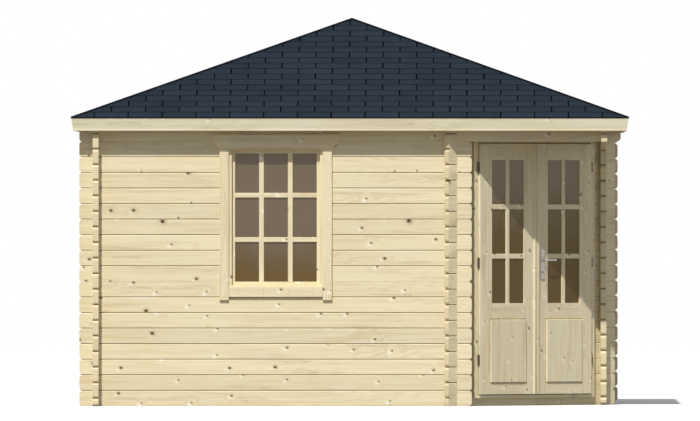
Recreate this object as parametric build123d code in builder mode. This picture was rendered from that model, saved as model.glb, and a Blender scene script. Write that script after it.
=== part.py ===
"""Five-corner log summerhouse, in millimetres.

A square log cabin with its front right corner cut off at 45 degrees by a wall
that holds a glazed double door. A square pyramid roof covers the whole plan,
so it stands over the cut corner as a canopy. The origin is on the ground in
the middle of the plan, the front wall faces -Y and +Z is up.
"""
from build123d import *
import math
import os

os.makedirs("parts", exist_ok=True)

# Logs
log_height = 115
log_thickness = 44
log_gap = 0.3
log_end_bevel = 12
log_end_reach = 100
groove_depth = 5
course_count = 18
half_log = log_height / 2
wall_top = course_count * log_height + half_log
fit_gap = 0.3
overcut = 1
seat_play = 1

# Plan of the walls, measured on their outer faces
wall_half = 1900
diagonal_start = 792
front_tip_reach = 108
diagonal_tip_reach = 91
slanted_lap_reach = 176
wall_inner = wall_half - log_thickness
log_tip = wall_half + log_end_reach
crossing = wall_half - log_thickness / 2
front_tip = diagonal_start + front_tip_reach
diagonal_distance = (wall_half + diagonal_start) / math.sqrt(2)
diagonal_half = (wall_half - diagonal_start) / math.sqrt(2)
diagonal_tip = diagonal_half + diagonal_tip_reach

# Window in the front wall
window_centre = -548
window_opening_width = 714
window_course = 7
window_sill_height = window_course * log_height + half_log
window_head_height = (course_count - 1) * log_height
window_play = 1.5
lining_thickness = 30
lining_depth = 80
lining_height = 1060
casing_width = 69
casing_thickness = 20
casing_lap = 10
casing_bevel = 3
casing_drop = 20
head_board_height = 103
head_board_thickness = 24
head_board_corner = 52
side_casing_drop = 79
bottom_casing_height = 76
bottom_casing_lap = 19
inner_casing_width = 60
inner_casing_thickness = 16
sash_setback = 40
sash_thickness = 36
sash_width = 24
sash_rail_height = 26
glass_thickness = 4

# Double door in the diagonal wall
leaf_half_span = 585
leaf_thickness = 40
leaf_face = 42
leaf_bottom = 85
leaf_top = 1941
leaf_play = 5
meeting_gap = 8
hinge_stile = 124
meeting_stile = 124
top_rail = 121
bottom_rail = 81
panel_height = 480
lock_rail = 113
glass_setback = 12
panel_widening = 24
panel_setback = 8
panel_thickness = 24
panel_margin = 8
panel_rise = 17
panel_bevel = 3
strip_width = 26
strip_thickness = 10
strip_gap = 5

# Door frame
frame_face = 25
frame_back = 69
jamb_width = 43
frame_stop_lap = 15
frame_slot_depth = 30
slot_play = 2
frame_head_height = 59
threshold_stop = 15
threshold_nose = 5

# Hinges of the door
knuckle_radius = 8
knuckle_height = 36
knuckle_gap = 1
pin_radius = 4
pin_play = 0.3
knuckle_sides = 16
pin_sides = 8
hinge_levels = (341, 1058, 1767)

# Lever handle
handle_position = 62
plate_width = 42
plate_height = 220
plate_thickness = 8
plate_corner = 9
plate_drop = 143
lever_height = 1080
lever_length = 118
lever_width = 18
lever_depth = 10
lever_standoff = 42
spindle_width = 8
spindle_hole_radius = 6

# Roof
eave_overhang = 160
roof_pitch = 20
eave_drop = 0.5
shingle_thickness = 6.5
board_thickness = 19
mitre_gap = 0.2
mitre_margin = 10
fascia_height = 93
fascia_thickness = 19
fascia_inset = 18
fascia_lean = 15
fascia_lip_height = 12
fascia_lip_reach = 3
hip_trim_width = 14
hip_trim_height = 5
rafter_width = 44
rafter_depth = 95
rafter_tail = 1950
king_post_half = 45
king_post_height = 180

# Floor
bearer_height = 45
bearer_width = 45
bearer_spacing = 600
bearer_count = 7
floor_thickness = 19
floor_margin = 6

roof_half = wall_half + eave_overhang
eave_height = wall_top - eave_drop
roof_slope = math.tan(math.radians(roof_pitch))
board_rise = board_thickness / math.cos(math.radians(roof_pitch))
shingle_rise = shingle_thickness / math.cos(math.radians(roof_pitch))
beam_height = window_head_height


def wall_plane(angle, distance):
    """Upright plane that faces outwards: x runs along the wall, y is up."""
    a = math.radians(angle)
    return Plane(
        origin=(distance * math.cos(a), distance * math.sin(a), 0),
        x_dir=(-math.sin(a), math.cos(a), 0),
        z_dir=(math.cos(a), math.sin(a), 0),
    )


front_plane = wall_plane(-90, wall_half)
right_plane = wall_plane(0, wall_half)
back_plane = wall_plane(90, wall_half)
left_plane = wall_plane(180, wall_half)
door_plane = wall_plane(-45, diagonal_distance)

plain_joints = [n * log_height for n in range(course_count + 1)]
shifted_joints = [half_log + n * log_height for n in range(course_count + 1)]


def courses(joints, bottom, top):
    """The logs between two heights, as pairs of their lower and upper joint."""
    levels = [bottom] + [z for z in joints if bottom < z < top] + [top]
    return list(zip(levels, levels[1:]))


def rectangle(left, right, bottom, top, mode=Mode.ADD):
    """A rectangle by its sides, in the sketch that is open."""
    with Locations(((left + right) / 2, (bottom + top) / 2)):
        Rectangle(right - left, top - bottom, mode=mode)


def section_plane(plane, end):
    """Plane across a wall at one end: x points outwards, y is up."""
    return Plane(
        origin=plane.from_local_coords((end, 0, 0)),
        x_dir=plane.z_dir,
        z_dir=-plane.x_dir,
    )


def log_stack(plane, logs, start, end, tips=(), laps=(), lap_joints=(), cutouts=()):
    """Stacked logs of one wall, with bevelled tips, lap notches and V grooves."""
    with BuildPart() as stack:
        with BuildSketch(plane) as face:
            for bottom, top in logs:
                rectangle(start, end, bottom + log_gap / 2, top - log_gap / 2)
            if tips:
                corners = [v for v in face.vertices() if min(abs(v.X - t) for t in tips) < log_gap]
                chamfer(corners, length=log_end_bevel)
            for lap in laps:
                for joint in lap_joints:
                    rectangle(
                        lap - log_thickness / 2 - fit_gap,
                        lap + log_thickness / 2 + fit_gap,
                        joint - half_log / 2 - log_gap / 2,
                        joint + half_log / 2 + log_gap / 2,
                        mode=Mode.SUBTRACT,
                    )
            for cutout in cutouts:
                rectangle(*cutout, mode=Mode.SUBTRACT)
        extrude(amount=-log_thickness)
        grooves = [top for _, top in logs[:-1]]
        if grooves:
            with BuildSketch(section_plane(plane, end)):
                with Locations([(0, z) for z in grooves]):
                    Rectangle(
                        groove_depth * math.sqrt(2),
                        groove_depth * math.sqrt(2),
                        rotation=45,
                    )
            extrude(amount=end - start, mode=Mode.SUBTRACT)
    return stack.part


def slanted_laps(plane, left, right, levels):
    """The room that another wall's logs take up where they cross at 45 degrees."""
    with BuildPart() as room:
        with BuildSketch(plane.offset(fit_gap)):
            for bottom, top in levels:
                rectangle(left, right, bottom - log_gap / 2, top + log_gap / 2)
        extrude(amount=-log_thickness - 2 * fit_gap)
    return room.part


def lap_levels(joints):
    return [(z - half_log / 2, z + half_log / 2) for z in joints]


def keep(part, name):
    part.label = name
    export_step(part, f"parts/{name}.step")


# Where the front wall and the right wall cross the diagonal wall
crossing_reach = diagonal_half + diagonal_tip_reach + log_thickness
crossing_inner = diagonal_half - slanted_lap_reach
front_crossing = (diagonal_start - slanted_lap_reach, diagonal_start + slanted_lap_reach)
right_crossing = (-front_crossing[1], -front_crossing[0])
header_level = beam_height + half_log
header_lap = header_level + half_log
front_room = slanted_laps(
    door_plane, -crossing_reach, -crossing_inner, lap_levels(plain_joints)
)
right_levels = lap_levels(shifted_joints[:-2])
right_levels.append((header_level - half_log / 2, header_lap))
right_room = slanted_laps(door_plane, crossing_inner, crossing_reach, right_levels)
door_left_room = slanted_laps(front_plane, *front_crossing, lap_levels(shifted_joints))
door_right_levels = lap_levels(plain_joints[:-1])
door_right_levels.append((header_lap, wall_top + log_height))
door_right_room = slanted_laps(right_plane, *right_crossing, door_right_levels)

# Left and back walls
left_wall = log_stack(
    left_plane,
    courses(shifted_joints, 0, wall_top),
    -log_tip,
    log_tip,
    tips=(-log_tip, log_tip),
    laps=(-crossing, crossing),
    lap_joints=shifted_joints,
)
keep(left_wall, "left_wall")

back_wall = log_stack(
    back_plane,
    courses(plain_joints, 0, wall_top),
    -log_tip,
    log_tip,
    tips=(-log_tip, log_tip),
    laps=(-crossing, crossing),
    lap_joints=plain_joints,
)
keep(back_wall, "back_wall")

# Right wall, from the back corner to the diagonal wall
with BuildPart() as right_wall:
    add(
        log_stack(
            right_plane,
            courses(shifted_joints, 0, beam_height - half_log),
            -front_tip,
            log_tip,
            tips=(-front_tip, log_tip),
            laps=(crossing,),
            lap_joints=shifted_joints,
        )
    )
    add(right_room, mode=Mode.SUBTRACT)
keep(right_wall.part, "right_wall")

# Right beam: the top two logs run on over the cut corner, the lower one at half height
with BuildPart() as right_beam:
    add(
        log_stack(
            right_plane,
            courses(shifted_joints, beam_height - half_log, wall_top),
            -log_tip,
            log_tip,
            tips=(-log_tip, log_tip),
            laps=(-crossing, crossing),
            lap_joints=shifted_joints,
            cutouts=((-log_tip - overcut, -front_tip, beam_height - log_height, beam_height),),
        )
    )
    add(right_room, mode=Mode.SUBTRACT)
keep(right_beam.part, "right_beam")

# Front wall below, left and right of the window, and the front beam over it
window_left = window_centre - window_opening_width / 2
window_right = window_centre + window_opening_width / 2
window_base_top = (window_course + 1) * log_height
with BuildPart() as front_wall_below_window:
    add(
        log_stack(
            front_plane,
            courses(plain_joints, 0, window_base_top),
            -log_tip,
            front_tip,
            tips=(-log_tip, front_tip),
            laps=(-crossing,),
            lap_joints=plain_joints,
            cutouts=((window_left, window_right, window_sill_height, window_base_top),),
        )
    )
    add(front_room, mode=Mode.SUBTRACT)
keep(front_wall_below_window.part, "front_wall_below_window")

front_wall_left = log_stack(
    front_plane,
    courses(plain_joints, window_base_top, window_head_height),
    -log_tip,
    window_left,
    tips=(-log_tip,),
    laps=(-crossing,),
    lap_joints=plain_joints,
)
keep(front_wall_left, "front_wall_left")

with BuildPart() as front_wall_right:
    add(
        log_stack(
            front_plane,
            courses(plain_joints, window_base_top, window_head_height),
            window_right,
            front_tip,
            tips=(front_tip,),
        )
    )
    add(front_room, mode=Mode.SUBTRACT)
keep(front_wall_right.part, "front_wall_right")

with BuildPart() as front_beam:
    add(
        log_stack(
            front_plane,
            courses(plain_joints, window_head_height, wall_top),
            -log_tip,
            log_tip,
            tips=(-log_tip, log_tip),
            laps=(-crossing, crossing),
            lap_joints=plain_joints,
        )
    )
    add(front_room, mode=Mode.SUBTRACT)
keep(front_beam.part, "front_beam")

# Diagonal wall beside, below and above the door
rebate_edge = leaf_half_span + leaf_play
frame_half = rebate_edge + jamb_width
log_stop = frame_half - frame_slot_depth + slot_play
with BuildPart() as door_wall_left:
    add(
        log_stack(
            door_plane,
            courses(shifted_joints, half_log, beam_height - half_log),
            -diagonal_tip,
            -log_stop,
            tips=(-diagonal_tip,),
        )
    )
    add(door_left_room, mode=Mode.SUBTRACT)
keep(door_wall_left.part, "door_wall_left")

with BuildPart() as door_wall_right:
    add(
        log_stack(
            door_plane,
            courses(plain_joints, log_height, beam_height),
            log_stop,
            diagonal_tip,
            tips=(diagonal_tip,),
        )
    )
    add(door_right_room, mode=Mode.SUBTRACT)
keep(door_wall_right.part, "door_wall_right")

# Sill log: half a log under the door, a whole one on its right
with BuildPart() as door_sill_log:
    add(
        log_stack(
            door_plane,
            [(0, log_height)],
            -diagonal_tip,
            diagonal_tip,
            tips=(diagonal_tip,),
            cutouts=((-diagonal_tip - overcut, log_stop, half_log - log_gap / 2, log_height),),
        )
    )
    add(door_left_room, mode=Mode.SUBTRACT)
    add(door_right_room, mode=Mode.SUBTRACT)
keep(door_sill_log.part, "door_sill_log")

# Header: its lower log is cut to half its height over the door
with BuildPart() as door_header:
    add(
        log_stack(
            door_plane,
            courses(shifted_joints, beam_height - half_log, wall_top),
            -diagonal_tip,
            diagonal_tip,
            tips=(-diagonal_tip, diagonal_tip),
            cutouts=(
                (
                    -log_stop,
                    diagonal_tip + overcut,
                    beam_height - log_height,
                    beam_height + log_gap / 2,
                ),
            ),
        )
    )
    add(door_left_room, mode=Mode.SUBTRACT)
    add(door_right_room, mode=Mode.SUBTRACT)


def boards_underside(reach):
    """Height of the roof boards' lower face at a distance from the middle."""
    return eave_height - board_rise + roof_slope * (roof_half - reach)


def rafter_top(distance):
    """Top of a hip rafter: its two edges meet the boards."""
    edge = (distance + rafter_width / 2) / math.sqrt(2)
    return boards_underside(edge) - fit_gap


hip_angle = math.atan(roof_slope / math.sqrt(2))
rafter_rise = rafter_depth / math.cos(hip_angle)

# Gable logs that close the diagonal wall up to the roof, notched for the hip rafter
gable_half = diagonal_half - math.sqrt(2) * log_thickness - seat_play
gable_notch = rafter_top(diagonal_distance) - rafter_rise - fit_gap
gable_ridge = boards_underside(diagonal_distance / math.sqrt(2)) - fit_gap
gable_end = boards_underside((diagonal_distance + gable_half) / math.sqrt(2)) - fit_gap
gable_joint = wall_top + log_height
with BuildPart() as door_wall_header:
    add(door_header.part)
    with BuildSketch(door_plane):
        with BuildLine():
            Polyline(
                (-gable_half, wall_top + log_gap / 2),
                (gable_half, wall_top + log_gap / 2),
                (gable_half, gable_end),
                (0, gable_ridge),
                (-gable_half, gable_end),
                close=True,
            )
        make_face()
        rectangle(
            -rafter_width / 2 - fit_gap,
            rafter_width / 2 + fit_gap,
            gable_notch,
            gable_ridge + overcut,
            mode=Mode.SUBTRACT,
        )
        rectangle(
            -gable_half,
            gable_half,
            gable_joint - log_gap / 2,
            gable_joint + log_gap / 2,
            mode=Mode.SUBTRACT,
        )
    extrude(amount=-log_thickness)
keep(door_wall_header.part, "door_wall_header")


# Window: lining, casings, sash and glass
lining_left = window_left + window_play
lining_right = window_right - window_play
lining_bottom = window_sill_height + window_play
lining_top = lining_bottom + lining_height
clear_left = lining_left + lining_thickness
clear_right = lining_right - lining_thickness
clear_bottom = lining_bottom + lining_thickness
clear_top = lining_top - lining_thickness
with BuildPart() as window_lining:
    with BuildSketch(front_plane):
        rectangle(lining_left, lining_right, lining_bottom, lining_top)
        rectangle(clear_left, clear_right, clear_bottom, clear_top, mode=Mode.SUBTRACT)
    extrude(amount=-lining_depth)
keep(window_lining.part, "window_lining")

casing_left = window_left + casing_lap
casing_right = window_right - casing_lap
casing_top = lining_top - casing_drop
bottom_casing_top = lining_bottom + bottom_casing_lap
side_casing_bottom = window_sill_height - side_casing_drop
with BuildPart() as window_casing:
    with BuildSketch(front_plane.offset(fit_gap)):
        rectangle(casing_left - casing_width, casing_left, side_casing_bottom, casing_top)
        rectangle(casing_right, casing_right + casing_width, side_casing_bottom, casing_top)
        rectangle(
            casing_left + fit_gap,
            casing_right - fit_gap,
            bottom_casing_top - bottom_casing_height,
            bottom_casing_top,
        )
    extrude(amount=casing_thickness)
    chamfer(
        window_casing.faces().group_by(Axis.Y)[0].edges().filter_by(Axis.Z),
        length=casing_bevel,
    )
    with BuildSketch(front_plane.offset(fit_gap)):
        with BuildLine():
            left_foot = casing_left - casing_width
            right_foot = casing_right + casing_width
            left_end = left_foot - head_board_corner
            right_end = right_foot + head_board_corner
            head_bottom = casing_top + fit_gap
            head_top = head_bottom + head_board_height
            Polyline(
                (left_foot, head_bottom),
                (right_foot, head_bottom),
                (right_end, head_bottom + head_board_corner),
                (right_end, head_top),
                (left_end, head_top),
                (left_end, head_bottom + head_board_corner),
                close=True,
            )
        make_face()
    extrude(amount=head_board_thickness)
keep(window_casing.part, "window_casing")

with BuildPart() as window_inner_casing:
    with BuildSketch(front_plane.offset(-log_thickness - fit_gap)):
        rectangle(
            lining_left - inner_casing_width,
            lining_right + inner_casing_width,
            lining_bottom - inner_casing_width,
            lining_top + inner_casing_width,
        )
        rectangle(
            lining_left - fit_gap,
            lining_right + fit_gap,
            lining_bottom - fit_gap,
            lining_top + fit_gap,
            mode=Mode.SUBTRACT,
        )
    extrude(amount=-inner_casing_thickness)
keep(window_inner_casing.part, "window_inner_casing")

pane_left = clear_left + sash_width
pane_right = clear_right - sash_width
pane_bottom = clear_bottom + sash_rail_height
pane_top = clear_top - sash_rail_height
with BuildPart() as window_sash:
    with BuildSketch(front_plane.offset(-sash_setback)):
        rectangle(
            clear_left + fit_gap,
            clear_right - fit_gap,
            clear_bottom + fit_gap,
            clear_top - fit_gap,
        )
        rectangle(pane_left, pane_right, pane_bottom, pane_top, mode=Mode.SUBTRACT)
    extrude(amount=-sash_thickness)
keep(window_sash.part, "window_sash")

with BuildPart() as window_glass:
    with BuildSketch(front_plane.offset(-sash_setback - sash_thickness / 2 + glass_thickness / 2)):
        rectangle(
            pane_left + fit_gap,
            pane_right - fit_gap,
            pane_bottom + fit_gap,
            pane_top - fit_gap,
        )
    extrude(amount=-glass_thickness)
keep(window_glass.part, "window_glass")

# Door frame: jambs and head grip the log ends in a slot and stop the leaves
stop_face = leaf_face - leaf_thickness - leaf_play
stop_edge = leaf_half_span - frame_stop_lap
frame_bottom = half_log + log_gap / 2
frame_top = leaf_top - frame_stop_lap + frame_head_height
door_plan = Plane(
    origin=door_plane.from_local_coords((0, frame_bottom, 0)),
    x_dir=door_plane.x_dir,
    z_dir=(0, 0, 1),
)


def door_jamb(side):
    """A jamb, in plan: x along the wall, y into the room."""
    with BuildPart() as jamb:
        with BuildSketch(door_plan):
            with BuildLine():
                Polyline(
                    (side * rebate_edge, -frame_face),
                    (side * frame_half, -frame_face),
                    (side * frame_half, frame_back),
                    (side * stop_edge, frame_back),
                    (side * stop_edge, -stop_face),
                    (side * rebate_edge, -stop_face),
                    close=True,
                )
            make_face()
            slot = sorted((side * (frame_half - frame_slot_depth), side * (frame_half + overcut)))
            rectangle(*slot, -fit_gap, log_thickness + fit_gap, mode=Mode.SUBTRACT)
        extrude(amount=frame_top - frame_bottom)
        with BuildSketch(door_plan.offset(beam_height - frame_bottom)):
            sides = sorted((side * (stop_edge - overcut), side * (frame_half + overcut)))
            rectangle(*sides, -fit_gap, log_thickness + fit_gap)
        extrude(amount=log_height, mode=Mode.SUBTRACT)
    return jamb.part


keep(door_jamb(-1), "door_jamb_left")
keep(door_jamb(1), "door_jamb_right")

with BuildPart() as door_frame_head:
    with BuildSketch(door_plane.offset(-frame_back)):
        rectangle(
            -stop_edge + fit_gap, stop_edge - fit_gap, leaf_top - frame_stop_lap, frame_top
        )
    extrude(amount=frame_back + stop_face)
    with BuildSketch(door_plane.offset(stop_face)):
        rectangle(
            -rebate_edge + fit_gap, rebate_edge - fit_gap, leaf_top + leaf_play, frame_top
        )
    extrude(amount=frame_face - stop_face)
    with BuildSketch(door_plane.offset(fit_gap)):
        rectangle(-frame_half, frame_half, beam_height, frame_top + overcut)
    extrude(amount=-log_thickness - 2 * fit_gap, mode=Mode.SUBTRACT)
keep(door_frame_head.part, "door_frame_head")

threshold_top = leaf_bottom - leaf_play
with BuildPart() as door_threshold:
    with BuildSketch(door_plane.offset(-frame_back)):
        rectangle(
            -stop_edge + fit_gap, stop_edge - fit_gap, frame_bottom, threshold_top + threshold_stop
        )
    extrude(amount=frame_back + stop_face)
    with BuildSketch(door_plane.offset(stop_face)):
        rectangle(-rebate_edge + fit_gap, rebate_edge - fit_gap, frame_bottom, threshold_top)
    extrude(amount=frame_face - stop_face + threshold_nose)
keep(door_threshold.part, "door_threshold")

# Hinges: the frame's half lies on the frame and holds the pin, the leaf's half turns on it
axis_along = leaf_half_span + knuckle_radius + fit_gap
axis_out = frame_face + knuckle_radius + fit_gap


def hinge_plane(side, level):
    """Level plane on a hinge's axis."""
    place = door_plane.from_local_coords((side * axis_along, level, axis_out))
    return Plane(origin=place, x_dir=door_plane.x_dir, z_dir=(0, 0, 1))


with BuildPart() as frame_hinges:
    for side in (-1, 1):
        for level in hinge_levels:
            foot = hinge_plane(side, level - knuckle_height)
            with BuildSketch(foot):
                RegularPolygon(knuckle_radius, knuckle_sides)
            extrude(amount=knuckle_height)
            with BuildSketch(foot):
                RegularPolygon(pin_radius, pin_sides)
            extrude(amount=2 * knuckle_height)
keep(frame_hinges.part, "frame_hinges")


def leaf_hinges(side):
    with BuildPart() as hinges:
        for level in hinge_levels:
            foot = hinge_plane(side, level + knuckle_gap)
            with BuildSketch(foot):
                RegularPolygon(knuckle_radius, knuckle_sides)
            extrude(amount=knuckle_height)
            with BuildSketch(foot):
                RegularPolygon(pin_radius + pin_play, pin_sides, major_radius=False)
            extrude(amount=knuckle_height - knuckle_gap, mode=Mode.SUBTRACT)
    return hinges.part


# Door leaves
glass_bottom = leaf_bottom + bottom_rail + panel_height + lock_rail
glass_top = leaf_top - top_rail
panel_bottom = leaf_bottom + bottom_rail
panel_top = panel_bottom + panel_height
leaf_inner = meeting_gap / 2
opening_outer = leaf_half_span - hinge_stile
panel_inner = meeting_stile - panel_widening
panel_outer = opening_outer + panel_widening


def between(side, near, far):
    """Two places along the wall in rising order, for either leaf."""
    return sorted((side * near, side * far))


def leaf_frame(side):
    """Stiles, rails and meeting strip of a leaf, open for its glass and its panel."""
    with BuildPart() as frame:
        with BuildSketch(door_plane.offset(leaf_face)):
            rectangle(*between(side, leaf_inner, leaf_half_span), leaf_bottom, leaf_top)
        extrude(amount=-leaf_thickness)
        with BuildSketch(door_plane.offset(leaf_face)):
            rectangle(*between(side, meeting_stile, opening_outer), glass_bottom, glass_top)
            rectangle(*between(side, panel_inner, panel_outer), panel_bottom, panel_top)
        extrude(amount=-leaf_thickness, mode=Mode.SUBTRACT)
        with BuildSketch(door_plane.offset(leaf_face)):
            rectangle(*between(side, strip_gap / 2, strip_width), leaf_bottom, leaf_top)
        extrude(amount=strip_thickness)
        if side > 0:
            spindle = door_plane.from_local_coords((handle_position, lever_height, leaf_face))
            with BuildSketch(Plane(origin=spindle, z_dir=door_plane.z_dir)):
                Circle(spindle_hole_radius)
            extrude(amount=-leaf_thickness, mode=Mode.SUBTRACT)
    return frame.part


def leaf_glass(side):
    with BuildPart() as glass:
        with BuildSketch(door_plane.offset(leaf_face - glass_setback)):
            rectangle(
                *between(side, meeting_stile + fit_gap, opening_outer - fit_gap),
                glass_bottom + fit_gap,
                glass_top - fit_gap,
            )
        extrude(amount=-glass_thickness)
    return glass.part


def leaf_panel(side):
    """Lower panel: its field stands out of the leaf, with a narrow groove round it."""
    with BuildPart() as panel:
        with BuildSketch(door_plane.offset(leaf_face - panel_setback)):
            rectangle(
                *between(side, panel_inner + fit_gap, panel_outer - fit_gap),
                panel_bottom + fit_gap,
                panel_top - fit_gap,
            )
        extrude(amount=-panel_thickness)
        with BuildSketch(door_plane.offset(leaf_face - panel_setback)):
            rectangle(
                *between(side, panel_inner + panel_margin, panel_outer - panel_margin),
                panel_bottom + panel_margin,
                panel_top - panel_margin,
            )
        extrude(amount=panel_rise)
        outwards = Axis(door_plane.origin, door_plane.z_dir)
        face_edges = panel.faces().sort_by(outwards)[-1].edges()
        chamfer(face_edges, length=panel_bevel)
    return panel.part


for side, name in ((-1, "left"), (1, "right")):
    keep(leaf_frame(side), f"{name}_leaf_frame")
    keep(leaf_glass(side), f"{name}_leaf_glass")
    keep(leaf_panel(side), f"{name}_leaf_panel")
    keep(leaf_hinges(side), f"{name}_leaf_hinges")

# Lever handle on the right leaf: a plate on each face, levers on one spindle
plate_bottom = lever_height - plate_drop
plate_back = leaf_face - leaf_thickness
with BuildPart() as handle_plates:
    for level, direction in ((leaf_face + fit_gap, 1), (plate_back - fit_gap, -1)):
        with BuildSketch(door_plane.offset(level)):
            with Locations((handle_position, plate_bottom + plate_height / 2)):
                plate = Rectangle(plate_width, plate_height)
            chamfer(plate.vertices(), length=plate_corner)
            with Locations((handle_position, lever_height)):
                Circle(spindle_hole_radius, mode=Mode.SUBTRACT)
        extrude(amount=direction * plate_thickness)
keep(handle_plates.part, "handle_plates")

lever_far = leaf_face + fit_gap + plate_thickness + lever_standoff
lever_near = plate_back - fit_gap - plate_thickness - lever_standoff
with BuildPart() as handle_lever:
    with BuildSketch(door_plane.offset(lever_near)):
        with Locations((handle_position, lever_height)):
            Rectangle(spindle_width, spindle_width)
    extrude(amount=lever_far - lever_near)
    for level, direction in ((lever_far, -1), (lever_near, 1)):
        with BuildSketch(door_plane.offset(level)):
            with Locations((handle_position + lever_length / 2 - lever_width / 2, lever_height)):
                SlotOverall(lever_length, lever_width)
        extrude(amount=direction * lever_depth)
keep(handle_lever.part, "handle_lever")


# Roof: four mitred panels of boards, four of shingles and four fascias
def side_plane(angle):
    """Upright plane across one side of the roof: x runs outwards, y is up."""
    a = math.radians(angle)
    return Plane(
        origin=(0, 0, 0),
        x_dir=(math.cos(a), math.sin(a), 0),
        z_dir=(math.sin(a), -math.cos(a), 0),
    )


def mitred(angle, profile, gap):
    """A profile carried along one side of the roof and mitred at both hips."""
    a = math.radians(angle)
    far = roof_half + mitre_margin
    with BuildPart() as side:
        with BuildSketch(side_plane(angle)):
            with BuildLine():
                Polyline(*profile, close=True)
            make_face()
        extrude(amount=far, both=True)
        outwards = (math.cos(a), math.sin(a), 0)
        with BuildSketch(Plane(origin=(0, 0, 0), x_dir=outwards, z_dir=(0, 0, 1))):
            with BuildLine():
                Polyline((gap, 0), (far, far - gap), (far, gap - far), close=True)
            make_face()
        extrude(amount=2 * eave_height, mode=Mode.INTERSECT)
    return side.part


fascia_top_out = roof_half - fascia_inset + fascia_lean
fascia_bottom_out = roof_half - fascia_inset
fascia_bottom = eave_height - fascia_height
shingle_underside = eave_height + roof_slope * roof_half
shingle_top = shingle_underside + shingle_rise


def fascia_outer(height):
    """How far out the fascia's leaning face is at a height."""
    share = (height - fascia_bottom) / fascia_height
    return fascia_bottom_out + share * fascia_lean


def under_shingles(reach):
    return shingle_underside - roof_slope * reach - fit_gap


board_end_low = fascia_outer(boards_underside(roof_half)) - fascia_thickness - seat_play
board_end_high = fascia_outer(eave_height) - fascia_thickness - seat_play
board_profile = (
    (0, boards_underside(0) - fit_gap),
    (board_end_low, boards_underside(board_end_low) - fit_gap),
    (board_end_high, under_shingles(board_end_high)),
    (0, under_shingles(0)),
)
shingle_profile = (
    (0, shingle_underside),
    (roof_half, eave_height),
    (roof_half, eave_height + shingle_rise),
    (0, shingle_top),
)
fascia_profile = (
    (fascia_bottom_out - fascia_thickness, fascia_bottom),
    (fascia_bottom_out + fascia_lip_reach, fascia_bottom),
    (fascia_bottom_out + fascia_lip_reach, fascia_bottom + fascia_lip_height),
    (fascia_outer(fascia_bottom + fascia_lip_height), fascia_bottom + fascia_lip_height),
    (fascia_top_out, under_shingles(fascia_top_out)),
    (fascia_top_out - fascia_thickness, under_shingles(fascia_top_out - fascia_thickness)),
)
plate_profile = (
    (wall_inner, wall_top + log_gap / 2),
    (wall_half, wall_top + log_gap / 2),
    (wall_half, boards_underside(wall_half) - 2 * fit_gap),
    (wall_inner, boards_underside(wall_inner) - 2 * fit_gap),
)
plate_mitre = rafter_width / math.sqrt(2) + 2 * fit_gap

roof_sides = (("right", 0), ("back", 90), ("left", 180), ("front", -90))
for name, angle in roof_sides:
    keep(mitred(angle, board_profile, mitre_gap), f"roof_boards_{name}")
    keep(mitred(angle, shingle_profile, mitre_gap), f"roof_shingles_{name}")
    keep(mitred(angle, fascia_profile, mitre_gap), f"fascia_{name}")

# Bevelled plates that carry the boards on the four walls
with BuildPart() as wall_plates:
    for name, angle in roof_sides:
        add(mitred(angle, plate_profile, plate_mitre))
keep(wall_plates.part, "wall_plates")

# Hip rafters, notched over the wall corners, and the king post where they meet
rafter_start = king_post_half + fit_gap
rafter_seat = wall_inner * math.sqrt(2) - rafter_width / 2 - seat_play
rafter_end = rafter_tail * math.sqrt(2)
seat_height = wall_top + log_gap
king_post_top = boards_underside(king_post_half * math.sqrt(2)) - 2 * fit_gap
with BuildPart() as hip_rafters:
    for angle in (45, 135, 225, 315):
        with BuildSketch(side_plane(angle)):
            with BuildLine():
                Polyline(
                    (rafter_start, rafter_top(rafter_start)),
                    (rafter_end, rafter_top(rafter_end)),
                    (rafter_end, seat_height),
                    (rafter_seat, seat_height),
                    (rafter_seat, rafter_top(rafter_seat) - rafter_rise),
                    (rafter_start, rafter_top(rafter_start) - rafter_rise),
                    close=True,
                )
            make_face()
        extrude(amount=rafter_width / 2, both=True)
    with BuildSketch(Plane.XY.offset(king_post_top)):
        Rectangle(2 * king_post_half, 2 * king_post_half, rotation=45)
    extrude(amount=-king_post_height)
keep(hip_rafters.part, "hip_rafters")

# Trim along the four hips, meeting at the top of the roof and cut off over the eaves
hip_length = math.hypot(roof_half * math.sqrt(2), roof_half * roof_slope)
hip_fall = math.tan(math.acos(1 / (1 + roof_slope**2)) / 2)
trim_drop = hip_trim_width * hip_fall
with BuildPart() as hip_trim:
    for angle in (45, 135, 225, 315):
        a = math.radians(angle)
        down = Vector(
            math.cos(a) * math.cos(hip_angle),
            math.sin(a) * math.cos(hip_angle),
            -math.sin(hip_angle),
        )
        across = Vector(-math.sin(a), math.cos(a), 0)
        with BuildSketch(Plane(origin=(0, 0, shingle_top), x_dir=across, z_dir=down)):
            with BuildLine():
                Polyline(
                    (0, fit_gap),
                    (hip_trim_width, fit_gap - trim_drop),
                    (hip_trim_width, hip_trim_height - trim_drop),
                    (0, hip_trim_height),
                    (-hip_trim_width, hip_trim_height - trim_drop),
                    (-hip_trim_width, fit_gap - trim_drop),
                    close=True,
                )
            make_face()
        extrude(amount=hip_length)
    with BuildSketch():
        Rectangle(2 * roof_half, 2 * roof_half)
    extrude(amount=2 * eave_height, mode=Mode.INTERSECT)
keep(hip_trim.part, "hip_trim")

# Floor: bearers from wall to wall, and boards on them, cut off at the diagonal wall
bearer_half = wall_inner - fit_gap
board_half = wall_inner - floor_margin
floor_diagonal = diagonal_distance - frame_back - floor_margin


def floor_outline(half):
    """Corners of a square of this half width without its corner at the door."""
    cut = floor_diagonal * math.sqrt(2) - half
    return ((-half, -half), (cut, -half), (half, -cut), (half, half), (-half, half))


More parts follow.
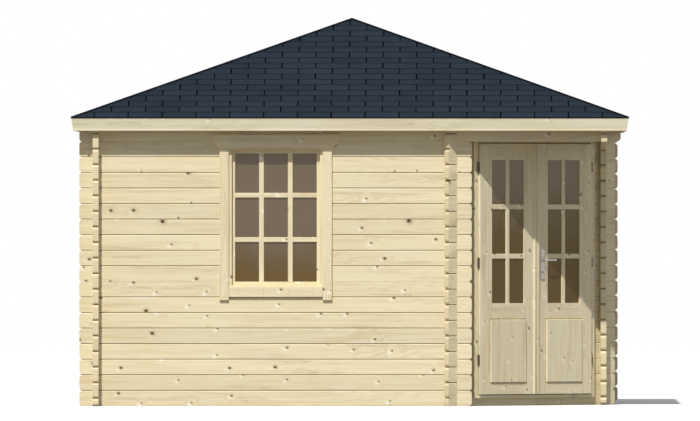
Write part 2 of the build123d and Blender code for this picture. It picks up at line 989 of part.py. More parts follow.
with BuildPart() as floor_bearers:
    with BuildSketch():
        with GridLocations(bearer_spacing, 0, bearer_count, 1):
            Rectangle(bearer_width, 2 * bearer_half)
        with BuildLine():
            Polyline(*floor_outline(bearer_half), close=True)
        make_face(mode=Mode.INTERSECT)
    extrude(amount=bearer_height)
keep(floor_bearers.part, "floor_bearers")

with BuildPart() as floor_boards:
    with BuildSketch(Plane.XY.offset(bearer_height + fit_gap)):
        with BuildLine():
            Polyline(*floor_outline(board_half), close=True)
        make_face()
    extrude(amount=floor_thickness)
keep(floor_boards.part, "floor_boards")
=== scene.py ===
# %% [markdown]
# # A corner summerhouse of logs, finished in Blender
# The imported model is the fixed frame: its walls, roof, window and door stand where they
# belong. This script gives each surface its finish and adds what is too small for the frame:
# shingles, boards, glazing bars, screws, nails and the round parts of hinges and handle.

# %% Load the frame
import math
import bmesh
import bpy
from mathutils import Matrix, Vector


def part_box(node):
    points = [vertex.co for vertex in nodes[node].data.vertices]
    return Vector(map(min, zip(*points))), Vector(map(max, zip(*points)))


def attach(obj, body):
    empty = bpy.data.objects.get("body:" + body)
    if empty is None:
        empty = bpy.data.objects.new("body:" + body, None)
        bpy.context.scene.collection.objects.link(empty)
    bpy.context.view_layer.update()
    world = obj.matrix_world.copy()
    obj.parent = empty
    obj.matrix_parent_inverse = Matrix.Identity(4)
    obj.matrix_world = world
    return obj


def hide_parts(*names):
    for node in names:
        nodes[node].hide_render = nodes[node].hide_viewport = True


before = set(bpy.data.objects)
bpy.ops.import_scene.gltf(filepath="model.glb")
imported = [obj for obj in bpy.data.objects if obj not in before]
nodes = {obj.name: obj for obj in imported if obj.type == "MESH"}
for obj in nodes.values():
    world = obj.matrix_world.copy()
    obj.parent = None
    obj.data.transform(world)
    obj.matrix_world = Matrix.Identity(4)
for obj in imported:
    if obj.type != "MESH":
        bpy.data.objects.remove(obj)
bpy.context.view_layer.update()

# %% [markdown]
# The reference view is a front elevation with no perspective. A very long lens far away gives
# nearly the same picture. The camera stands level, at the height of the picture's middle, and
# a little to the right, so that the ends of the back wall's logs show beside the front ones.

# %% Camera
picture_width = 700
picture_height = 421
metres_per_pixel = 0.0073876
ground_row = 406.2
front_face = 1.9
lens = 1000.0
sensor = 36.0
camera_aside = 1.1

camera_distance = picture_width * metres_per_pixel * lens / sensor
camera_height = (ground_row - picture_height / 2) * metres_per_pixel
camera_data = bpy.data.cameras.new("camera")
camera_data.lens = lens
camera_data.sensor_width = sensor
camera_data.clip_start = 1.0
camera_data.clip_end = 1000.0
camera = bpy.data.objects.new("camera", camera_data)
camera.location = (camera_aside, -front_face - camera_distance, camera_height)
camera.rotation_euler = (math.radians(90), 0, math.atan(camera_aside / camera_distance))
bpy.context.scene.collection.objects.link(camera)
bpy.context.scene.camera = camera
print("camera:", round(camera_distance, 1), "m in front,", round(camera_height, 3), "m up")

# %% [markdown]
# Every material is a small graph of shader nodes. Writing the maths as Python expressions is
# easier to read than a list of links, so one class wraps a socket: an operator on it adds a
# Math node, and one method adds any other node.


# %% One class for node graphs
class Graph:
    """A socket of a node tree. Operators add Math nodes; node() adds any other node."""

    def __init__(self, tree, socket=None):
        self.tree = tree
        self.socket = socket

    def node(self, kind, settings=(), values=(), output=0):
        made = self.tree.nodes.new(kind)
        for key, setting in dict(settings).items():
            setattr(made, key, setting)
        for key, value in dict(values).items():
            if isinstance(value, Graph):
                self.tree.links.new(value.socket, made.inputs[key])
            else:
                made.inputs[key].default_value = value
        return Graph(self.tree, made.outputs[output])

    def maths(self, operation, *others, clamp=False):
        settings = {"operation": operation, "use_clamp": clamp}
        return self.node("ShaderNodeMath", settings, enumerate((self,) + others))

    def __add__(self, other):
        return self.maths("ADD", other)

    def __sub__(self, other):
        return self.maths("SUBTRACT", other)

    def __mul__(self, other):
        return self.maths("MULTIPLY", other)

    def __truediv__(self, other):
        return self.maths("DIVIDE", other)

    def __rsub__(self, other):
        return self.node("ShaderNodeMath", {"operation": "SUBTRACT"}, {0: other, 1: self})

    def __rtruediv__(self, other):
        return self.node("ShaderNodeMath", {"operation": "DIVIDE"}, {0: other, 1: self})

    __radd__ = __add__
    __rmul__ = __mul__

    def split(self):
        made = self.tree.nodes.new("ShaderNodeSeparateXYZ")
        self.tree.links.new(self.socket, made.inputs[0])
        return [Graph(self.tree, socket) for socket in made.outputs]

    def vector(self, x, y, z):
        return self.node("ShaderNodeCombineXYZ", (), {0: x, 1: y, 2: z})

    def step(self, low, high):
        """0 below low, 1 above high and a smooth step between."""
        settings = {"interpolation_type": "SMOOTHSTEP"}
        values = {"Value": self, "From Min": low, "From Max": high}
        return self.node("ShaderNodeMapRange", settings, values)

    def mix(self, first, second):
        """Two colours mixed by this value."""
        return self.node("ShaderNodeMix", {"data_type": "RGBA"}, {0: self, 6: first, 7: second}, 2)

    def noise(self, place, scale, detail=2.0, roughness=0.5):
        values = {"Vector": place, "Scale": scale, "Detail": detail, "Roughness": roughness}
        return self.node("ShaderNodeTexNoise", (), values)

    def random(self, low, high, seed):
        values = {2: low, 3: high, "Seed": seed}
        return self.node("FunctionNodeRandomValue", {"data_type": "FLOAT"}, values, 1)

    def moved(self, geometry, by, turned=(0.0, 0.0, 0.0)):
        """Geometry moved and turned."""
        values = {"Translation": self.vector(*by), "Rotation": self.vector(*turned)}
        return self.node("GeometryNodeTransform", (), {"Geometry": geometry, **values})


def rgb(red, green, blue):
    return (red, green, blue, 1.0)


def dimmed(colour, share):
    return rgb(*(share * part for part in colour[:3]))


def new_material(name):
    """A material with an empty Principled shader, as a graph, the shader and its surface."""
    material = bpy.data.materials.new(name)
    material.use_nodes = True
    shader = material.node_tree.nodes["Principled BSDF"]
    return material, Graph(material.node_tree), shader


def feed(graph, shader, values):
    """Set or link sockets of a shader."""
    for name, value in values.items():
        if isinstance(value, Graph):
            graph.tree.links.new(value.socket, shader.inputs[name])
        else:
            shader.inputs[name].default_value = value


def surface(graph, shader, colour, roughness, shine, height, strength, distance):
    """Feed the colour, roughness and shine of a shader, and its relief from a height."""
    values = {"Strength": strength, "Distance": distance, "Height": height}
    relief = graph.node("ShaderNodeBump", (), values)
    values = {"Base Color": colour, "Roughness": roughness}
    feed(graph, shader, {**values, "Specular IOR Level": shine, "Normal": relief})


# %% [markdown]
# The light is that of a clear day: a hard sun from the upper left, about 50 degrees high, and a
# weak even sky. The white behind the house is what the camera, and a mirror or a pane, see of
# the world and the floor. The light that they throw on the house is much weaker.

# %% Light, world and floor
sun_height = math.radians(50.4)
sun_aside = math.radians(13)
sun_width = math.radians(0.8)
sun_strength = 3.3
sun_colour = (1.0, 0.985, 0.95)
sky_strength = 0.39
sky_blue = (1.0, 1.02, 1.13, 1.0)
floor_reach = 60.0
floor_bounce = rgb(0.22, 0.21, 0.19)
floor_seen = rgb(0.95, 0.96, 0.99)

sun_data = bpy.data.lights.new("sun", "SUN")
sun_data.energy = sun_strength
sun_data.angle = sun_width
sun_data.color = sun_colour
sun = bpy.data.objects.new("sun", sun_data)
sun.rotation_euler = (math.pi / 2 - sun_height, 0, -sun_aside)
bpy.context.scene.collection.objects.link(sun)

world = bpy.data.worlds.new("sky")
world.use_nodes = True
bpy.context.scene.world = world
sky = Graph(world.node_tree)
background = world.node_tree.nodes["Background"]


def seen_directly(graph):
    """1 for the rays that show the surroundings: camera, mirror and glass rays."""
    camera_ray = graph.node("ShaderNodeLightPath", output="Is Camera Ray")
    glossy_ray = graph.node("ShaderNodeLightPath", output="Is Glossy Ray")
    glass_ray = graph.node("ShaderNodeLightPath", output="Is Transmission Ray")
    return camera_ray.maths("MAXIMUM", glossy_ray).maths("MAXIMUM", glass_ray)


sky_light = seen_directly(sky) * (1 - sky_strength) + sky_strength
sky.tree.links.new(sky_light.socket, background.inputs["Strength"])
sky_colour = seen_directly(sky).mix(sky_blue, rgb(1, 1, 1))
sky.tree.links.new(sky_colour.socket, background.inputs["Color"])

ground_mesh = bpy.data.meshes.new("floor")
corners = [(-floor_reach, -4 * floor_reach), (floor_reach, -4 * floor_reach)]
corners += [(floor_reach, floor_reach), (-floor_reach, floor_reach)]
ground_mesh.from_pydata([(x, y, 0) for x, y in corners], [], [(0, 1, 2, 3)])
ground = bpy.data.objects.new("floor", ground_mesh)
bpy.context.scene.collection.objects.link(ground)
ground_paint, graph, shader = new_material("floor_paint")
shown = seen_directly(graph)
values = {"Base Color": shown.mix(floor_bounce, floor_seen), "Roughness": 1.0}
feed(graph, shader, {**values, "Specular IOR Level": 0.0})
ground_mesh.materials.append(ground_paint)
print("light: sun", sun_strength, "sky", sky_strength)

# %% [markdown]
# ## Spruce
# Planed spruce is pale, with faint growth rings that run along the piece, fine fibres, and a few
# small dark knots, more of them in some places than in others. Each log is cut from another
# tree, so the pattern jumps at every joint. The rings are the contour lines of a stretched noise,
# and a knot lifts that noise in a small spot, so the rings bend round it. A knot is a branch that
# goes through the log, so it is looked up in two directions only, along the log and up it.

# %% Spruce colours
spruce_pale = (0.83, 0.745, 0.505)
spruce_ring = (0.61, 0.49, 0.28)
spruce_knot = rgb(0.075, 0.050, 0.024)
spruce_halo = rgb(0.46, 0.34, 0.17)
spruce_warm = rgb(0.83, 0.665, 0.40)
spruce_sap = rgb(0.94, 0.88, 0.70)
# Painted shade for the downward bevels of the V joints between logs.
painted_joint_shade = rgb(0.10, 0.070, 0.036)
end_ring = rgb(0.56, 0.42, 0.23)


# %% Coordinates on a piece of wood
def along_grain(graph, turn, upright, rails):
    """Where a point lies in a piece: along the grain, through it and across it."""
    turned = {"Rotation": (0, 0, -turn)}
    place = graph.node("ShaderNodeTexCoord", output="Object")
    place = graph.node("ShaderNodeMapping", {"vector_type": "POINT"}, {"Vector": place, **turned})
    run, depth, across = place.split()
    if upright:
        run, across = across, run
    if rails:
        middle, near, far = rails
        aside = (across - middle).maths("ABSOLUTE")
        level = aside.maths("GREATER_THAN", near) * aside.maths("LESS_THAN", far)
        run, across = run + (across - run) * level, across + (run - across) * level
    return run, depth, across


def knots_in(graph, run, across, share, size_of_knots):
    """Masks of the knots: the knot, its dark rim, the swirl round it and a pale patch beside it."""
    per_metre = 7.5
    stretch = 0.8
    smallest, spread = 0.0035, 0.0080
    patch_aside, patch_above = 0.013, 0.012
    place = graph.vector(run * stretch, across, 0.0)
    settings = {"voronoi_dimensions": "2D", "feature": "F1"}
    values = {"Vector": place, "Scale": per_metre, "Randomness": 0.9}
    distance = graph.node("ShaderNodeTexVoronoi", settings, values, "Distance")
    pick, size, _ = graph.node("ShaderNodeTexVoronoi", settings, values, "Color").split()
    uneven = graph.noise(place, 60.0, 2.0) - 0.5
    distance = distance / per_metre + uneven * 0.004
    crowded = graph.noise(place, 0.9, 2.0).step(0.35, 0.65) * 1.3 + 0.35
    picked = (crowded * share - pick).step(-0.01, 0.01)
    radius = (size * size * spread + smallest) * size_of_knots
    knot = (1 - (distance / radius).step(0.7, 1.1)) * picked
    rim = (1 - (distance / radius).step(1.0, 3.0)) * picked
    swirl = (1 - distance.step(0.0, 0.06)) * picked
    beside = graph.vector(run * stretch + patch_aside, across + patch_above, 0.0)
    values["Vector"] = beside
    distance = graph.node("ShaderNodeTexVoronoi", settings, values, "Distance") / per_metre
    patch = (1 - (distance + uneven * 0.02).step(0.004, 0.022)) * picked * (1 - knot)
    return knot, rim, swirl, patch


def end_of_log(graph, across, depth, pitch):
    """Rings of the sawn end of a log, with the pith a little below its middle."""
    from_pith = graph.vector(depth, across - pitch * 0.3, 0.0)
    from_pith = graph.node("ShaderNodeVectorMath", {"operation": "LENGTH"}, {0: from_pith}, "Value")
    wander = graph.noise(graph.node("ShaderNodeTexCoord", output="Object"), 16.0, 2.0)
    return ((from_pith + wander * 0.008) * 1300.0).maths("SINE") * 0.5 + 0.5


# %% Spruce material
no_tint = (1.0, 1.0, 1.0)
knot_size_logs = 1.2
knot_size_boards = 0.65


def spruce(
    name, turn, pitch=10.0, first=-1.0, tint=no_tint, knots=0.3, upright=False, logs=False, rails=None
):
    """Planed spruce.

    turn is the wall's angle, and pitch and first are the spacing and start of its joints.
    tint multiplies the colour, and knots is the share of places that have one. logs adds sawn
    ends and painted shade on the downward bevels of the joints. rails is the zone in which
    the grain turns by 90 degrees.
    """
    material, graph, shader = new_material(name)
    pale = rgb(*(a * b for a, b in zip(spruce_pale, tint)))
    ring = rgb(*(a * b for a, b in zip(spruce_ring, tint)))
    run, depth, height = along_grain(graph, turn, upright, rails)
    course = ((height - first) / pitch).maths("FLOOR")
    across = height - first - course * pitch
    chance = graph.node("ShaderNodeTexWhiteNoise", {"noise_dimensions": "1D"}, {"W": course})
    run = run + chance * 37.0
    own = across + chance * 5.0

    knot_size = knot_size_logs if logs else knot_size_boards
    knot, rim, swirl, patch = knots_in(graph, run, own, knots, knot_size)
    field = graph.noise(graph.vector(run * 0.55, depth * 6.0, own * 9.0), 1.0, 2.0, 0.45)
    field = field + swirl * 0.12
    rings = ((field * 150.0).maths("SINE") * 0.5 + 0.5).maths("POWER", 2.5)
    flames = ((field * 46.0).maths("SINE") * 0.5 + 0.5).maths("POWER", 2.0)
    ring_strength = graph.noise(graph.vector(run * 0.8, depth, own * 6.0), 1.7, 2.0).step(0.3, 0.7)
    fibres = graph.noise(graph.vector(run * 3.0, depth * 120.0, own * 160.0), 1.0, 3.0, 0.6)
    streaks = graph.noise(graph.vector(run * 1.1, depth * 8.0, own * 42.0), 1.0, 3.0, 0.55)
    cloud = graph.noise(graph.vector(run * 2.2, depth * 5.0, own * 10.0), 1.0, 3.0)

    grain = rings * (ring_strength * 0.30 + 0.06) + (fibres - 0.5) * 0.25
    grain = grain + flames * ring_strength * 0.30 + (streaks - 0.5) * 1.1 + (cloud - 0.5) * 0.5
    colour = (grain + 0.08).maths("ADD", 0.0, clamp=True).mix(pale, ring)
    warmth = graph.noise(graph.vector(run * 1.7, depth * 3.0, own * 8.0 + 5.0), 1.0, 2.0)
    colour = (warmth.step(0.5, 0.8) * 0.45).mix(colour, spruce_warm)
    colour = (patch * 0.8 + cloud.step(0.6, 0.8) * 0.3).mix(colour, spruce_sap)
    colour = (rim * 0.6).mix(colour, spruce_halo)
    colour = knot.mix(colour, spruce_knot)
    if logs:
        facing = graph.node("ShaderNodeTexCoord", output="Normal")
        turned = {"vector_type": "NORMAL"}
        facing = graph.node("ShaderNodeMapping", turned, {"Vector": facing, "Rotation": (0, 0, -turn)})
        along, _, up = facing.split()
        rings_at_end = end_of_log(graph, across, depth, pitch) * 0.35 + 0.12
        end_colour = rings_at_end.mix(pale, end_ring)
        colour = along.maths("ABSOLUTE").step(0.6, 0.9).mix(colour, end_colour)
        # Painted shade: the downward bevel at the foot of each log, in the V joint, is darkened.
        down = up * -1.0
        underside = down.step(0.3, 0.5) * (1 - down.step(0.85, 0.95))
        painted_shade_in_joint = underside * (1 - across.step(0.0060, 0.0085))
        colour = (painted_shade_in_joint * 0.9).mix(colour, painted_joint_shade)
    level = chance * 0.10 + 0.95
    values = {"Hue": 0.5, "Saturation": 1.0, "Value": level, "Fac": 1.0, "Color": colour}
    colour = graph.node("ShaderNodeHueSaturation", (), values)
    height = fibres * 0.35 + rings * 0.4 - knot * 1.2
    surface(graph, shader, colour, fibres * 0.12 + 0.55, 0.3, height, 0.25, 0.0006)
    return material


# %% Spruce for each direction
log_height = 0.115
half_log = log_height / 2
quarter = math.pi / 2
eighth = math.pi / 4
log_front = spruce("spruce_logs_front", 0.0, log_height, 0.0, logs=True)
log_side = spruce("spruce_logs_side", quarter, log_height, -half_log, logs=True)
log_door = spruce("spruce_logs_door", eighth, log_height, -half_log, logs=True)
log_door_low = spruce("spruce_logs_door_low", eighth, log_height, 0.0, logs=True)
upright_front = spruce("spruce_upright_front", 0.0, upright=True, knots=0.5)
level_front = spruce("spruce_level_front", 0.0, knots=0.35)
door_tint = (1.03, 1.04, 1.06)
upright_door = spruce("spruce_upright_door", eighth, upright=True, knots=0.6, tint=door_tint)
level_door = spruce("spruce_level_door", eighth, knots=0.6, tint=door_tint)
print("spruce:", len([m for m in bpy.data.materials if m.name.startswith("spruce")]), "materials")

# %% [markdown]
# ## Other finishes
# Bitumen shingles carry crushed slate: a dark blue grey with lighter and darker grains, over
# black felt. The glass has a brown tint and a painted reflection, greyer higher up, partly
# emitted as a painted glow. Hinges are dark bronze, screws and nails yellow zinc, the handle is
# satin nickel and the strip over the hips is matt black sheet.

# %% Shingle, glass and metals
def slate_cover(name, dark, light, bitumen):
    """Mineral grains on bitumen. The cut edges of a shingle are bare and darker."""
    material, graph, shader = new_material(name)
    place = graph.node("ShaderNodeTexCoord", output="Object")
    grains = graph.noise(place, 420.0, 2.0, 0.7).step(0.35, 0.7)
    patches = graph.noise(place, 5.0, 3.0)
    tone = graph.node("ShaderNodeAttribute", {"attribute_name": "tone"}, (), "Fac")
    colour = (grains * 0.5 + tone * 0.25 + (patches - 0.5) * 0.4).mix(dark, light)
    _, _, up = graph.node("ShaderNodeTexCoord", output="Normal").split()
    colour = up.step(0.6, 0.8).mix(bitumen, colour)
    surface(graph, shader, colour, grains * 0.1 + 0.85, 0.12, grains, 0.5, 0.0012)
    return material


def felt(name, colour):
    """Bare roofing felt, matt and slightly creased."""
    material, graph, shader = new_material(name)
    creases = graph.noise(graph.node("ShaderNodeTexCoord", output="Object"), 30.0, 4.0)
    colour = creases.mix(colour, dimmed(colour, 0.6))
    surface(graph, shader, colour, 0.95, 0.02, creases, 0.3, 0.001)
    return material


def metal(name, colour, roughness, metallic=1.0, shine=0.5):
    """Metal or painted sheet with fine lines and a few duller patches."""
    material, graph, shader = new_material(name)
    place = graph.node("ShaderNodeTexCoord", output="Object")
    x, y, z = place.split()
    lines = graph.noise(graph.vector(x * 900.0, y * 900.0, z * 40.0), 1.0, 2.0)
    dull = graph.noise(place, 45.0, 3.0)
    colour = dull.mix(colour, dimmed(colour, 0.8))
    roughness = dull * 0.15 + lines * 0.1 + roughness
    surface(graph, shader, colour, roughness, shine, lines, 0.15, 0.0002)
    feed(graph, shader, {"Metallic": metallic})
    return material


def tinted_glass_painted_reflection(name, low, high, bottom, top):
    """Glass with a brown tint and a painted reflection, greyer from one height to another.

    Part of its colour is emitted as a painted glow, so that the
    shadows of the bars stay faint on it.
    """
    material, graph, shader = new_material(name)
    place = graph.node("ShaderNodeTexCoord", output="Object")
    _, _, z = place.split()
    uneven = (graph.noise(place, 4.5, 4.0, 0.6) - 0.5) * 0.45
    # Painted reflection: brown low down, greyer higher up, with an uneven edge between.
    colour = (z + uneven).step(bottom, top).mix(low, high)
    dust = graph.noise(place, 6.0, 4.0)
    # Painted glow: part of the colour is emitted, so that the shadows of the bars stay faint on the
    # pane.
    values = {"Base Color": colour, "Emission Color": colour, "Emission Strength": 0.55}
    values.update({"Roughness": dust * 0.05 + 0.03, "Specular IOR Level": 0.2, "Alpha": 0.92})
    feed(graph, shader, values)
    return material


felt_black = rgb(0.0012, 0.0016, 0.0022)
bitumen_black = rgb(0.008, 0.013, 0.020)
slate_dark = rgb(0.005, 0.009, 0.016)
slate_light = rgb(0.023, 0.037, 0.056)
shingle_slate = slate_cover("shingle_slate", slate_dark, slate_light, bitumen_black)
roofing_felt = felt("roofing_felt", felt_black)
black_sheet = metal("black_sheet", rgb(0.006, 0.007, 0.009), 0.8, 0.0, shine=0.05)
bronze_zinc = metal("bronze_zinc", rgb(0.115, 0.085, 0.055), 0.42)
satin_nickel = metal("satin_nickel", rgb(0.42, 0.40, 0.36), 0.36)
yellow_zinc = metal("yellow_zinc", rgb(0.42, 0.34, 0.20), 0.35)
window_brown = rgb(0.092, 0.058, 0.017)
window_reflection_grey = rgb(0.118, 0.092, 0.062)
window_pane = tinted_glass_painted_reflection("window_pane", window_brown, window_reflection_grey, 0.90, 1.35)
door_brown = rgb(0.075, 0.048, 0.012)
door_reflection_grey = rgb(0.124, 0.095, 0.060)
door_pane = tinted_glass_painted_reflection("door_pane", door_brown, door_reflection_grey, 1.15, 1.75)

# %% [markdown]
# ## Helpers for pieces
# Each wall has its own upright frame: x runs along the wall, y goes into the room and z is up. A
# piece is made there as if it faced the reader, and then turned into its place.


# %% Frames of the walls and new pieces
out_of_door = Vector((1, -1, 0)).normalized()
door_distance = max(v.co.dot(out_of_door) for v in nodes["door_wall_left"].data.vertices)


def wall_frame(turn, distance):
    return Matrix.Rotation(turn, 4, "Z") @ Matrix.Translation((0, -distance, 0))


front_frame = wall_frame(0.0, front_face)
door_frame = wall_frame(eighth, door_distance)


def reach(node, wall, axis):
    """Lowest and highest place of a CAD node along one axis of a wall's frame."""
    inverse = wall.inverted()
    places = [(inverse @ v.co)[axis] for v in nodes[node].data.vertices]
    return min(places), max(places)


def add_piece(name, shape, materials, body, slot, replaced=()):
    """A finished shape as a piece that rides on a body."""
    mesh = bpy.data.meshes.new(name)
    shape.to_mesh(mesh)
    shape.free()
    for material in materials if isinstance(materials, tuple) else (materials,):
        mesh.materials.append(material)
    piece = bpy.data.objects.new(name, mesh)
    bpy.context.scene.collection.objects.link(piece)
    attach(piece, body)
    if replaced:
        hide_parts(*replaced)
    return piece


def triangles(pieces):
    return sum(len(p.vertices) - 2 for piece in pieces for p in piece.data.polygons)


# %% [markdown]
# ## Logs
# The frame holds every log with its notches, V joints and bevelled tips. A planed log has no
# sharp edge and its tips are rounded, so each wall is copied, its flat faces are joined again,
# the tips are rounded and then every edge is eased by a millimetre. On the right half of the
# house the bevels of the tips are longer, as in the picture.

# %% Logs with eased edges
def widened(edge):
    """How far an edge of a tip's bevel moves to make the bevel longer and higher."""
    slanted, other = sorted(edge.link_faces, key=lambda face: abs(abs(face.normal.z) - 0.7))
    if abs(other.normal.z) < 0.5:
        return edge, Vector((0, 0, -math.copysign(tip_higher, slanted.normal.z)))
    return edge, -Vector((slanted.normal.x, slanted.normal.y, 0)).normalized() * tip_longer


def bevel(shape, edges, width, segments):
    bmesh.ops.bevel(
        shape, geom=edges, offset=width, segments=segments, profile=0.5, affect="EDGES"
    )


def eased(node, width, tip_axis=None, tip_width=0.0):
    """A copy of a CAD node with its sharp edges rounded, and its log tips more so."""
    shape = bmesh.new()
    shape.from_mesh(nodes[node].data)
    bmesh.ops.remove_doubles(shape, verts=shape.verts, dist=2e-5)
    flat = math.radians(1)
    bmesh.ops.dissolve_limit(shape, angle_limit=flat, verts=shape.verts, edges=shape.edges)
    if tip_axis is not None:
        tips = []
        for edge in shape.edges:
            direction = (edge.verts[1].co - edge.verts[0].co).normalized()
            if not edge.is_manifold or abs(direction.dot(tip_axis)) < 0.99:
                continue
            if math.radians(40) < edge.calc_face_angle() < math.radians(50):
                tips.append(edge)
        moves = [widened(edge) for edge in tips if edge.verts[0].co.x > 0]
        for edge, move in moves:
            for vertex in edge.verts:
                vertex.co += move
        bevel(shape, tips, tip_width, 3)
    sharp = [e for e in shape.edges if e.is_manifold and e.calc_face_angle() > math.radians(30)]
    bevel(shape, sharp, width, 2)
    return shape


log_easing = 0.0012
log_tip_easing = 0.008
tip_higher = 0.003
tip_longer = 0.009
along_x = Vector((1, 0, 0))
along_y = Vector((0, 1, 0))
across_door = Vector((1, -1, 0)).normalized()
log_walls = {
    "back_wall": (along_y, log_front),
    "front_wall_below_window": (along_y, log_front),
    "front_wall_left": (along_y, log_front),
    "front_wall_right": (along_y, log_front),
    "front_beam": (along_y, log_front),
    "left_wall": (along_x, log_side),
    "right_wall": (along_x, log_side),
    "right_beam": (along_x, log_side),
    "door_wall_left": (across_door, log_door),
    "door_wall_right": (across_door, log_door),
    "door_sill_log": (across_door, log_door_low),
    "door_wall_header": (across_door, log_door),
}
logs = []
for node, (across, finish) in log_walls.items():
    shape = eased(node, log_easing, across, log_tip_easing)
    logs.append(add_piece(node + "_logs", shape, finish, "root", "log_wood", [node]))
print("logs:", len(logs), "walls,", triangles(logs), "triangles")

# %% [markdown]
# ## Roof cover
# Strip shingles are laid in rows, each row half a tab aside from the one below, with narrow slots
# between the tabs. That is a rule, so Geometry Nodes lay them: a grid of points, every other row
# moved, and a thin tab on each point that leans on the row below. Each side of the roof is the
# same sheet, cut along the hips and turned.

# %% A helper that runs a Geometry Nodes tree
def grow(tree, values):
    """Run a tree on an empty mesh and return the plain mesh that it makes."""
    carrier = bpy.data.objects.new("carrier", bpy.data.meshes.new("carrier"))
    bpy.context.scene.collection.objects.link(carrier)
    modifier = carrier.modifiers.new("grow", "NODES")
    modifier.node_group = tree
    for item in tree.interface.items_tree:
        if item.item_type == "SOCKET" and item.in_out == "INPUT" and item.name in values:
            modifier[item.identifier] = values[item.name]
    carrier.update_tag()
    ready = carrier.evaluated_get(bpy.context.evaluated_depsgraph_get())
    mesh = bpy.data.meshes.new_from_object(ready)
    carrier.modifiers.clear()
    bpy.data.objects.remove(carrier)
    return mesh


def new_tree(name, inputs):
    """A tree with named inputs and a Geometry output, and its inputs as graphs."""
    tree = bpy.data.node_groups.new(name, "GeometryNodeTree")
    tree.interface.new_socket("Geometry", in_out="OUTPUT", socket_type="NodeSocketGeometry")
    for label, kind in inputs.items():
        tree.interface.new_socket(label, in_out="INPUT", socket_type="NodeSocket" + kind)
    entry = tree.nodes.new("NodeGroupInput")
    return tree, Graph(tree), {label: Graph(tree, entry.outputs[label]) for label in inputs}


def finish_tree(graph, instances, material):
    """Real geometry with its material, to the tree's output."""
    real = graph.node("GeometryNodeRealizeInstances", (), {0: instances})
    painted = graph.node("GeometryNodeSetMaterial", (), {"Geometry": real, "Material": material})
    leave = graph.tree.nodes.new("NodeGroupOutput")
    graph.tree.links.new(painted.socket, leave.inputs[0])


# %% The shingle tree
lengths = ("Row Height", "Tab Width", "Slot", "Start", "Thickness", "Rise")
shingle_inputs = {"Rows": "Int", "Tabs": "Int", **dict.fromkeys(lengths, "Float")}
shingle_inputs["Material"] = "Material"
tab_jitter = 0.0015
tab_overlap = 1.06
shingle_tree, graph, given = new_tree("shingle_rows", shingle_inputs)
rows, tabs = given["Rows"], given["Tabs"]
width, height = (tabs - 1) * given["Tab Width"], (rows - 1) * given["Row Height"]
grid_size = {"Size X": width, "Size Y": height, "Vertices X": tabs, "Vertices Y": rows}
grid = graph.node("GeometryNodeMeshGrid", (), grid_size)
row = graph.node("GeometryNodeInputIndex").maths("MODULO", rows)
jitter = graph.random(-tab_jitter, tab_jitter, 11)
aside = given["Start"] + row.maths("MODULO", 2.0) * given["Tab Width"] * 0.5 + jitter
offset = graph.vector(aside, height * 0.5, 0.0)
moved = graph.node("GeometryNodeSetPosition", (), {"Geometry": grid, "Offset": offset})
tab_length = given["Row Height"] * tab_overlap
tab_size = graph.vector(given["Tab Width"] - given["Slot"], tab_length, given["Thickness"])
tab = graph.node("GeometryNodeMeshCube", (), {"Size": tab_size})
lean = given["Rise"].maths("DIVIDE", tab_length).maths("ARCSINE")
above = given["Rise"] * 0.5 + given["Thickness"] * 0.5
tab = graph.moved(tab, (0.0, tab_length * 0.5, above), (lean * -1.0, 0.0, 0.0))
laid = graph.node("GeometryNodeInstanceOnPoints", (), {"Points": moved, "Instance": tab})
tone = {"Geometry": laid, "Name": "tone", "Value": graph.random(0.0, 1.0, 5)}
settings = {"data_type": "FLOAT", "domain": "INSTANCE"}
toned = graph.node("GeometryNodeStoreNamedAttribute", settings, tone)
finish_tree(graph, toned, given["Material"])
print("shingle tree:", len(shingle_tree.nodes), "nodes")

# %% [markdown]
# A roof side is easiest to think of lying flat: x along the eave, y up the slope, z off the
# roof. Two upright cuts along the hips make it a triangle, and a matrix tips it into place.

# %% Roof sides
roof_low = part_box("roof_shingles_front")[0]
roof_half = -roof_low.y
roof_pitch = math.radians(20)
eave_height = roof_low.z
slope_length = roof_half / math.cos(roof_pitch)
side_turns = {"front": 0.0, "right": quarter, "back": 2 * quarter, "left": 3 * quarter}


def slope_frame(turn, drop=0.0):
    """Frame of one roof side, with its origin in the middle of the eave."""
    tip = Matrix.Translation((0, -roof_half, eave_height - drop)) @ Matrix.Rotation(roof_pitch, 4, "X")
    return Matrix.Rotation(turn, 4, "Z") @ tip


def cut(shape, point, away, closed=True):
    """Cut off what lies on the far side of a plane, and close the cut."""
    geometry = shape.verts[:] + shape.edges[:] + shape.faces[:]
    made = bmesh.ops.bisect_plane(
        shape, geom=geometry, dist=1e-6, plane_co=point, plane_no=away, clear_outer=True
    )
    if closed:
        edges = [e for e in made["geom_cut"] if isinstance(e, bmesh.types.BMEdge)]
        bmesh.ops.holes_fill(shape, edges=edges, sides=8)


def cut_to_hips(shape, gap=0.0):
    """Leave the part of a flat roof side between its two hips."""
    for side in (-1, 1):
        away = Vector((side * slope_length, roof_half, 0)).normalized()
        corner = Vector((side * (roof_half - gap), 0, 0))
        cut(shape, corner, away)


row_height = 0.120
tab_width = 0.250
first_slot = 0.113
row_count = math.ceil(slope_length / row_height) + 1
tab_count = 2 * math.ceil(roof_half / tab_width) + 3
slot_width = 0.0095
felt_thickness = 0.0015
tab_thickness = 0.0026
tab_lift = 0.0031
hip_gap = 0.001

